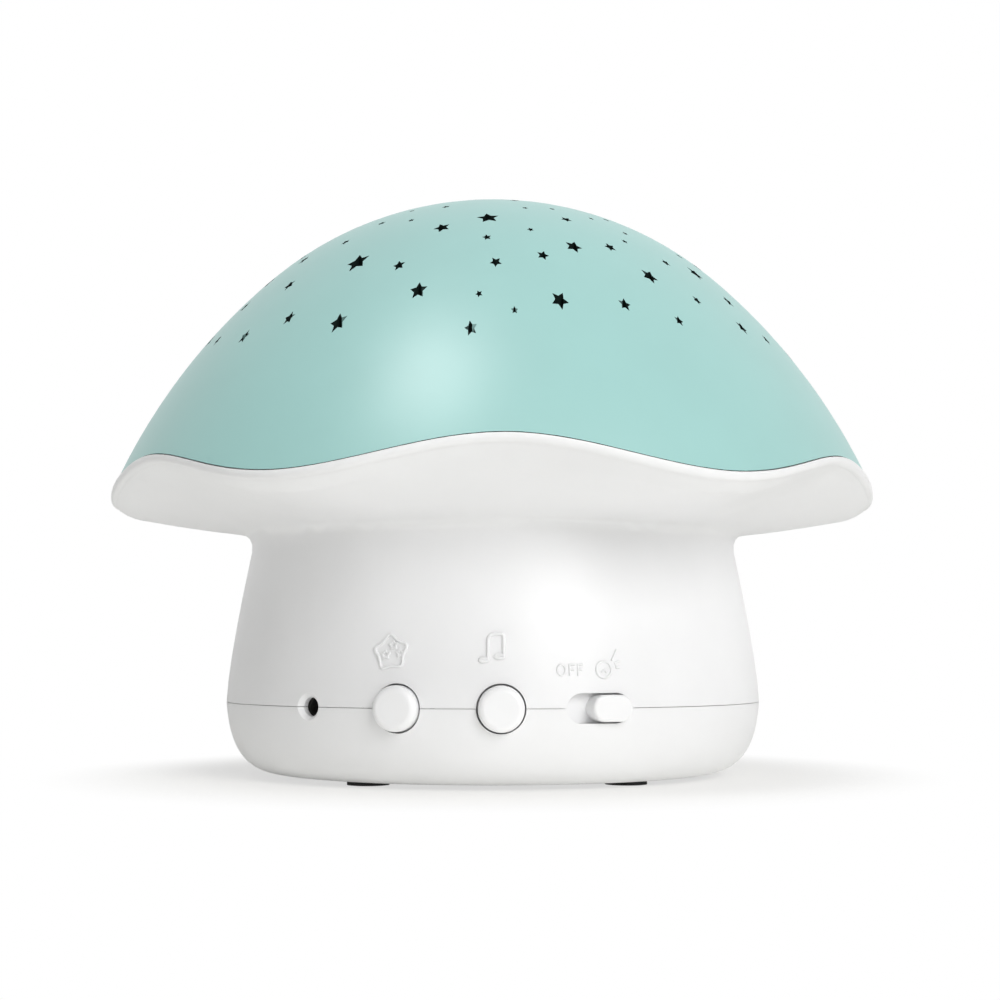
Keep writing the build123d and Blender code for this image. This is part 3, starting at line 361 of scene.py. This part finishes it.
def finished_copy(node, name, crease):
    """A copy of a CAD node with its triangles joined and its curved faces shaded smooth."""
    piece = bpy.data.objects.new(name, frame["nodes"][node].data.copy())
    bpy.context.scene.collection.objects.link(piece)
    select_only(piece)
    bpy.ops.mesh.customdata_custom_splitnormals_clear()
    bpy.ops.object.shade_smooth()
    bpy.ops.object.mode_set(mode="EDIT")
    bpy.ops.mesh.select_mode(type="EDGE")
    bpy.ops.mesh.select_all(action="SELECT")
    bpy.ops.mesh.remove_doubles(threshold=TRIANGLE_JOIN)
    bpy.ops.mesh.mark_sharp(clear=True)
    bpy.ops.mesh.select_all(action="DESELECT")
    bpy.ops.mesh.edges_select_sharp(sharpness=crease)
    bpy.ops.mesh.mark_sharp()
    bpy.ops.mesh.select_mode(type="VERT")
    bpy.ops.object.mode_set(mode="OBJECT")
    level = piece.modifiers.new("level", "WEIGHTED_NORMAL")
    level.mode = "FACE_AREA"
    level.weight = 100
    level.thresh = 0.0
    level.keep_sharp = True
    bpy.ops.object.modifier_apply(modifier="level")
    piece.data.materials.clear()
    piece.data.materials.append(bpy.data.materials[MATERIAL_NAMES[slot_of(node)]])
    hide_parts(node)
    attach(piece, body_of(node))
    return piece


# ---------------------------------------------------------------- true surfaces of the shells


def along(curve, share):
    """Point and direction of a cubic curve at a share of its way."""
    points = [Vector(point) for point in curve]
    while len(points) > 2:
        points = [near.lerp(far, share) for near, far in zip(points, points[1:])]
    return points[0].lerp(points[1], share), points[1] - points[0]


@lru_cache(maxsize=None)
def curve_normal(curve, height):
    """Outward direction, in the half section, where a rising curve passes a height; None past its ends."""
    if not curve[0][1] - 0.1 < height < curve[-1][1] + 0.1:
        return None
    low, high = 0.0, 1.0
    for _ in range(20):
        middle = (low + high) / 2
        if along(curve, middle)[0].y < height:
            low = middle
        else:
            high = middle
    step = along(curve, low)[1]
    return Vector((step.y, -step.x)).normalized()


def stem_normal(reach, height):
    """Outward direction of the stem's half section."""
    return curve_normal(STEM_CURVE, round(height, 2))


def base_normal(reach, height):
    """Outward direction of the base's half section."""
    return curve_normal(BASE_CURVE, round(height, 2))


def dome_normal(reach, height):
    """Outward direction of the dome's half section."""
    crown = Vector((reach, height)) - CROWN_CENTRE
    flank = Vector((reach, height)) - FLANK_CENTRE
    return (crown if crown.x < crown.y * tan(CROWN_ANGLE) else flank).normalized()


def close_seam(piece, level, travel):
    """Moves the edge at the seam towards the other shell, so that the line between them stays fine."""
    for vertex in piece.data.vertices:
        if abs(vertex.co.z - level * MM) < SEAM_REACH * MM:
            vertex.co.z += travel * MM


def true_normals(piece, section_normal):
    """Gives the outer face the normals of the uncut surface, so that light runs evenly past the holes."""
    mesh = piece.data
    truths = []
    for vertex in mesh.vertices:
        place = vertex.co / MM
        reach = max(place.xy.length, 0.001)
        section = section_normal(reach, place.z)
        truths.append(section and Vector((place.x / reach * section.x, place.y / reach * section.x, section.y)))
    normals = [Vector(corner.vector) for corner in mesh.corner_normals]
    for face in mesh.polygons:
        for index in face.loop_indices:
            truth = truths[mesh.loops[index].vertex_index]
            if truth and face.normal.dot(truth) > cos(FACE_TURN):
                normals[index] = truth
    mesh.normals_split_custom_set(normals)


# ---------------------------------------------------------------- operators


class NIGHTLIGHT_OT_materials(bpy.types.Operator):
    """Makes the materials and gives each CAD node that of its slot"""

    bl_idname = "nightlight.materials"
    bl_label = "Materials"

    def execute(self, context):
        materials = build_materials(context.scene.nightlight_shell)
        for slot, material in materials.items():
            MATERIAL_NAMES[slot] = material.name
        for node, piece in frame["nodes"].items():
            piece.data.materials.clear()
            piece.data.materials.append(materials[slot_of(node)])
        return {"FINISHED"}


class NIGHTLIGHT_OT_shells(bpy.types.Operator):
    """Finishes the dome, the upper body and the base"""

    bl_idname = "nightlight.shells"
    bl_label = "Shells"

    def execute(self, context):
        crease = context.scene.nightlight_shell.crease_angle
        true_normals(finished_copy("star_dome", "dome_shell", crease), dome_normal)
        body = finished_copy("upper_body", "body_shell", crease)
        true_normals(body, stem_normal)
        close_seam(body, STEM_CURVE[0][1], -SEAM_TRAVEL)
        base = finished_copy("base_shell", "lower_shell", crease)
        true_normals(base, base_normal)
        close_seam(base, BASE_CURVE[-1][1], SEAM_TRAVEL)
        return {"FINISHED"}


# The bead's section: distance out from the lip's face and height above the joint, in millimetres.
BEAD_SECTION = (
    (-0.9, -0.02), (-0.12, -0.02), (0.0, -0.1), (0.03, -0.35), (0.0, -0.8), (-0.12, -1.2), (-0.45, -1.55),
    (-0.95, -1.8), (-1.4, -1.9), (-1.8, -1.8),
)
BEAD_COLUMNS = 288
BEAD_STEP = 0.1 * MM


def bead_place(azimuth, out, up):
    """A point of the bead in millimetres; azimuth 0 is the front."""
    joint = JOINT_HEIGHT + WAVE_HEIGHT * cos(WAVE_COUNT * azimuth)
    reach = FLANK_CENTRE.x + sqrt(FLANK_RADIUS ** 2 - (joint - FLANK_CENTRE.y) ** 2) + LIP_PROUD + out
    return reach * sin(azimuth), -reach * cos(azimuth), joint + up


class NIGHTLIGHT_OT_bead(bpy.types.Operator):
    """Adds the bead that runs round the body's lip, just under the dome"""

    bl_idname = "nightlight.bead"
    bl_label = "Lip bead"

    def execute(self, context):
        bpy.ops.object.select_all(action="DESELECT")
        bpy.ops.mesh.primitive_circle_add(vertices=BEAD_COLUMNS, radius=80 * MM)
        bead = context.active_object
        bead.name = "lip_bead"
        bpy.ops.object.mode_set(mode="EDIT")
        bpy.ops.mesh.select_all(action="SELECT")
        for _ in BEAD_SECTION[1:]:
            bpy.ops.mesh.extrude_region_move(TRANSFORM_OT_translate={"value": (0, 0, -BEAD_STEP)})
        bpy.ops.object.mode_set(mode="OBJECT")
        # The rings follow the wavy joint, which no operator draws, so each corner is put in its place.
        for vertex in bead.data.vertices:
            row = round(-vertex.co.z / BEAD_STEP)
            azimuth = pi / 2 + atan2(vertex.co.y, vertex.co.x)
            vertex.co = Vector(bead_place(azimuth, *BEAD_SECTION[row])) * MM
        close_mesh(bead)
        bpy.ops.object.shade_smooth_by_angle(angle=NEW_CREASE)
        finish_new(bead, "upper_body", "white_plastic")
        return {"FINISHED"}


class NIGHTLIGHT_OT_controls(bpy.types.Operator):
    """Finishes the buttons and the slide knob"""

    bl_idname = "nightlight.controls"
    bl_label = "Controls"

    def execute(self, context):
        crease = context.scene.nightlight_shell.crease_angle
        finished_copy("light_button", "light_button_cap", crease)
        finished_copy("music_button", "music_button_cap", crease)
        finished_copy("slide_knob", "slide_knob_cap", crease)
        return {"FINISHED"}


def close_mesh(piece):
    """Joins end caps to their walls, bridges what is still open, and points the faces outwards."""
    select_only(piece)
    bpy.ops.object.mode_set(mode="EDIT")
    bpy.ops.mesh.select_mode(type="VERT")
    bpy.ops.mesh.select_all(action="DESELECT")
    bpy.ops.mesh.select_non_manifold()
    bpy.ops.mesh.remove_doubles(threshold=CAP_JOIN)
    bpy.ops.mesh.select_all(action="DESELECT")
    bpy.ops.mesh.select_non_manifold()
    if any(vertex.select for vertex in bmesh.from_edit_mesh(piece.data).verts):
        bpy.ops.mesh.bridge_edge_loops()
    bpy.ops.mesh.select_all(action="SELECT")
    bpy.ops.mesh.normals_make_consistent(inside=False)
    bpy.ops.object.mode_set(mode="OBJECT")


def wire(name, points, closed=False, corner=0.0):
    """A path of edges facing the front, extruded from point to point; points are (across, up)."""
    bpy.ops.object.select_all(action="DESELECT")
    bpy.ops.mesh.primitive_plane_add(size=MM)
    path = bpy.context.active_object
    path.name = name
    bpy.ops.object.mode_set(mode="EDIT")
    bpy.ops.mesh.select_all(action="SELECT")
    bpy.ops.mesh.merge(type="CENTER")
    bpy.ops.transform.translate(value=(points[0][0], 0, points[0][1]))
    for start, end in zip(points, points[1:]):
        step = (end[0] - start[0], 0, end[1] - start[1])
        bpy.ops.mesh.extrude_vertices_move(TRANSFORM_OT_translate={"value": step})
    if closed:
        bpy.ops.mesh.select_all(action="SELECT")
        bpy.ops.mesh.remove_doubles(threshold=PATH_JOIN)
    if corner:
        bpy.ops.mesh.select_all(action="SELECT")
        bpy.ops.mesh.bevel(offset=corner, segments=4, affect="VERTICES")
    bpy.ops.mesh.select_all(action="SELECT")
    bpy.ops.mesh.subdivide(number_cuts=2)
    bpy.ops.object.mode_set(mode="OBJECT")
    return path


def star_points(size, waist, turn):
    """Corners of a five-pointed star, back to the first one; waist is the inner radius as a share."""
    points = []
    for step in range(11):
        reach = size if step % 2 == 0 else size * waist
        angle = pi / 2 + turn + step * pi / 5
        points.append((reach * cos(angle), reach * sin(angle)))
    return points


def oval_points(across, up, steps=20):
    """Corners of an oval, back to the first one."""
    return [(across * cos(step * 2 * pi / steps), up * sin(step * 2 * pi / steps)) for step in range(steps + 1)]


def finish_new(piece, node, slot):
    """Gives a new piece its material, and lets it ride on the body of a CAD node."""
    piece.data.materials.clear()
    piece.data.materials.append(bpy.data.materials[MATERIAL_NAMES[slot]])
    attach(piece, body_of(node))


def raise_on_wall(path, azimuth, level, radius, height):
    """Lays a path on the stem at an azimuth and a level, and makes it a round moulded line."""
    select_only(path)
    path.rotation_euler = (0, 0, azimuth)
    path.location = (sin(azimuth) * CLEAR_REACH, -cos(azimuth) * CLEAR_REACH, level)
    bpy.context.view_layer.update()
    wrap = path.modifiers.new("wrap", "SHRINKWRAP")
    wrap.target = bpy.data.objects["body_shell"]
    wrap.wrap_method = "PROJECT"
    wrap.use_project_y = True
    wrap.use_positive_direction = True
    wrap.offset = radius - height
    bpy.ops.object.modifier_apply(modifier="wrap")
    bpy.ops.object.transform_apply(location=True, rotation=True, scale=True)
    bpy.ops.object.convert(target="CURVE")
    path.data.bevel_depth = radius
    path.data.bevel_resolution = 3
    path.data.use_fill_caps = True
    bpy.ops.object.convert(target="MESH")
    close_mesh(path)
    bpy.ops.object.shade_smooth_by_angle(angle=NEW_CREASE)
    finish_new(path, "upper_body", "white_plastic")


# Icons over the controls, in millimetres about each one's middle: name, points, corner rounding, azimuth in
# degrees from the front, height on the stem and share of the full line width and height.
STAR_TURN = radians(6)
ICON_LINES = (
    ("light_icon", star_points(3.9, 0.62, STAR_TURN), 1.1, -21.5, 26.4, 1.0),
    ("light_icon_star_1", star_points(0.9, 0.5, STAR_TURN), 0.1, -21.1, 27.8, 0.8),
    ("light_icon_star_2", star_points(0.9, 0.5, STAR_TURN), 0.1, -22.6, 25.9, 0.8),
    ("light_icon_star_3", star_points(0.8, 0.5, STAR_TURN), 0.1, -19.6, 26.2, 0.8),
    ("music_icon_beam", ((-1.45, -2.2), (-1.45, 2.0), (-0.6, 2.65), (1.5, 2.65), (1.5, -1.9)), 0.5, -1.0, 27.2, 1.2),
    ("music_icon_head_1", oval_points(0.8, 0.3), 0.0, -3.2, 25.0, 1.2),
    ("music_icon_head_2", oval_points(0.8, 0.3), 0.0, -0.3, 25.6, 1.2),
    ("off_letter_o", oval_points(0.8, 1.0), 0.0, 11.5, 23.05, 0.7),
    ("off_letter_f_1", ((-0.4, -1.05), (-0.4, 1.05), (0.6, 1.05)), 0.0, 13.55, 23.05, 0.7),
    ("off_letter_f_1_bar", ((-0.4, 0.1), (0.45, 0.1)), 0.0, 13.55, 23.05, 0.7),
    ("off_letter_f_2", ((-0.4, -1.05), (-0.4, 1.05), (0.6, 1.05)), 0.0, 15.2, 23.05, 0.7),
    ("off_letter_f_2_bar", ((-0.4, 0.1), (0.45, 0.1)), 0.0, 15.2, 23.05, 0.7),
    ("on_icon_ring", oval_points(1.55, 1.55, 32), 0.0, 20.1, 23.1, 0.8),
    ("on_icon_mark", ((-0.5, -0.5), (0.1, 0.0), (0.6, -0.6)), 0.1, 20.1, 23.1, 0.8),
    ("on_icon_ray_1", ((-0.6, -1.05), (0.6, 1.05)), 0.0, 22.5, 25.85, 0.8),
    ("on_icon_ray_2", ((-0.55, -0.25), (0.55, 0.25)), 0.0, 22.95, 24.5, 0.8),
    ("on_icon_ray_3", ((-0.4, 0.05), (0.4, -0.05)), 0.0, 23.0, 23.5, 0.8),
)


class NIGHTLIGHT_OT_icons(bpy.types.Operator):
    """Raises the icons and the lettering over the controls"""

    bl_idname = "nightlight.icons"
    bl_label = "Icons"

    def execute(self, context):
        icon = context.scene.nightlight_icon
        for name, points, corner, azimuth, level, share in ICON_LINES:
            scaled = [(across * MM, up * MM) for across, up in points]
            path = wire(name, scaled, dist(points[0], points[-1]) < 0.01, corner * MM)
            raise_on_wall(path, radians(azimuth), level * MM, share * icon.line_width / 2, share * icon.line_height)
        return {"FINISHED"}


class NIGHTLIGHT_OT_stage(bpy.types.Operator):
    """Sets the floor, the lamps, the surroundings and the camera"""

    bl_idname = "nightlight.stage"
    bl_label = "Stage"

    def execute(self, context):
        stage = context.scene.nightlight_stage
        add_floor(stage)
        add_surroundings(stage)
        add_lamp("key_lamp", *KEY_LAMP, stage.key_strength)
        add_lamp("top_lamp", *TOP_LAMP, stage.top_strength)
        add_camera()
        return {"FINISHED"}


# ---------------------------------------------------------------- stage


def add_surroundings(stage):
    """White surroundings that light the object softly and are seen as plain white."""
    world = bpy.data.worlds.new("white_surroundings")
    bpy.context.scene.world = world
    world.use_nodes = True
    tree = world.node_tree
    tree.nodes.clear()
    output = tree.nodes.new("ShaderNodeOutputWorld")
    place = add_node(tree, "ShaderNodeTexCoord")
    across = add_node(tree, "ShaderNodeSeparateXYZ", {"Vector": place.outputs["Generated"]})
    strength = add_node(tree, "ShaderNodeMapRange", {"Value": across.outputs["X"]},
                        From_Min=-1.0, To_Min=stage.left_strength, To_Max=stage.right_strength)
    lighting = add_node(tree, "ShaderNodeBackground", {"Strength": strength.outputs["Result"]}, Color=(1, 1, 1, 1))
    backdrop = add_node(tree, "ShaderNodeBackground", Color=(1, 1, 1, 1), Strength=1.0)
    path = add_node(tree, "ShaderNodeLightPath")
    seen = add_node(tree, "ShaderNodeMath", {0: path.outputs["Is Camera Ray"], 1: path.outputs["Is Glossy Ray"]},
                    operation="ADD", use_clamp=True)
    seen = add_node(tree, "ShaderNodeMath", {0: seen.outputs[0], 1: path.outputs["Is Transmission Ray"]},
                    operation="ADD", use_clamp=True)
    mix = add_node(tree, "ShaderNodeMixShader", {0: seen.outputs[0], 1: lighting.outputs[0], 2: backdrop.outputs[0]})
    tree.links.new(mix.outputs[0], output.inputs["Surface"])


def add_floor(stage):
    """A wide pale floor that adds a painted shadow to the real shadow near the object and is plain white farther away.
    """
    bpy.ops.object.select_all(action="DESELECT")
    bpy.ops.mesh.primitive_plane_add(size=12, location=(0, 0, 0))
    floor = bpy.context.active_object
    floor.name = "floor"
    material, tree, output = new_material("matt_white_floor")
    place = add_node(tree, "ShaderNodeTexCoord")
    reach = add_node(tree, "ShaderNodeVectorMath", {0: place.outputs["Object"]}, operation="LENGTH")
    fade = add_node(tree, "ShaderNodeMapRange", {"Value": reach.outputs["Value"]},
                    interpolation_type="SMOOTHSTEP", From_Min=SHADOW_REACH[0], From_Max=SHADOW_REACH[1],
                    To_Min=SHADOW_WHITE)
    paint = add_node(tree, "ShaderNodeBsdfDiffuse", Color=linear(stage.floor_colour))
    # Near the object the camera sees the floor in the darker shadow colour: a painted shadow added to the shadows that
    # really fall there.
    shade = add_node(tree, "ShaderNodeBsdfDiffuse", Color=linear(stage.shadow_colour))
    glow = add_node(tree, "ShaderNodeEmission", Color=linear(stage.floor_colour), Strength=stage.floor_glow)
    white = add_node(tree, "ShaderNodeEmission", Color=(1, 1, 1, 1), Strength=1.0)
    path = add_node(tree, "ShaderNodeLightPath")
    lit = add_node(tree, "ShaderNodeAddShader", {0: paint.outputs[0], 1: glow.outputs[0]})
    seen = add_node(tree, "ShaderNodeMixShader", {0: fade.outputs["Result"], 1: shade.outputs[0], 2: white.outputs[0]})
    camera_ray = path.outputs["Is Camera Ray"]
    mix = add_node(tree, "ShaderNodeMixShader", {0: camera_ray, 1: lit.outputs[0], 2: seen.outputs[0]})
    surface(tree, output, mix)
    floor.data.materials.append(material)


def add_lamp(name, place, target, size, power):
    """A square soft lamp aimed at a point."""
    lamp = bpy.data.lights.new(name, "AREA")
    lamp.shape = "SQUARE"
    lamp.size = size
    lamp.energy = power
    holder = bpy.data.objects.new(name, lamp)
    bpy.context.scene.collection.objects.link(holder)
    holder.location = place
    holder.rotation_euler = (Vector(target) - Vector(place)).to_track_quat("-Z", "Y").to_euler()
    return holder


def add_camera():
    """The camera, just above the floor in front of the controls and tilted slightly up."""
    camera = bpy.data.cameras.new("front_camera")
    camera.sensor_width = 36
    camera.lens = CAMERA_LENS
    camera.clip_start = 0.01
    holder = bpy.data.objects.new("front_camera", camera)
    bpy.context.scene.collection.objects.link(holder)
    holder.location = CAMERA_PLACE
    holder.rotation_euler = CAMERA_TURN
    bpy.context.scene.camera = holder


# ---------------------------------------------------------------- panel and registration


class NIGHTLIGHT_PT_panel(bpy.types.Panel):
    """Lists the settings and the operators"""

    bl_idname = "NIGHTLIGHT_PT_panel"
    bl_label = "Star night light"
    bl_space_type = "VIEW_3D"
    bl_region_type = "UI"
    bl_category = "Night light"

    def draw(self, context):
        for group in ("nightlight_shell", "nightlight_icon", "nightlight_stage"):
            settings = getattr(context.scene, group)
            for name in settings.__annotations__:
                self.layout.prop(settings, name)
        for operator in STEPS:
            self.layout.operator(operator.bl_idname)


STEPS = (
    NIGHTLIGHT_OT_materials, NIGHTLIGHT_OT_shells, NIGHTLIGHT_OT_bead, NIGHTLIGHT_OT_controls, NIGHTLIGHT_OT_icons,
    NIGHTLIGHT_OT_stage,
)
GROUPS = {"nightlight_shell": ShellSettings, "nightlight_icon": IconSettings, "nightlight_stage": StageSettings}


def register():
    """Registers the settings, the operators and the panel."""
    for cls in (*GROUPS.values(), *STEPS, NIGHTLIGHT_PT_panel):
        bpy.utils.register_class(cls)
    for name, group in GROUPS.items():
        setattr(bpy.types.Scene, name, bpy.props.PointerProperty(type=group))


def unregister():
    """Removes what register added."""
    for name in GROUPS:
        delattr(bpy.types.Scene, name)
    for cls in (NIGHTLIGHT_PT_panel, *reversed(STEPS), *GROUPS.values()):
        bpy.utils.unregister_class(cls)


def main():
    """Runs every step."""
    register()
    bpy.context.scene.view_settings.view_transform = "Standard"
    bpy.ops.nightlight.materials()
    bpy.ops.nightlight.shells()
    bpy.ops.nightlight.bead()
    bpy.ops.nightlight.controls()
    bpy.ops.nightlight.icons()
    bpy.ops.nightlight.stage()


if __name__ == "__main__":
    main()
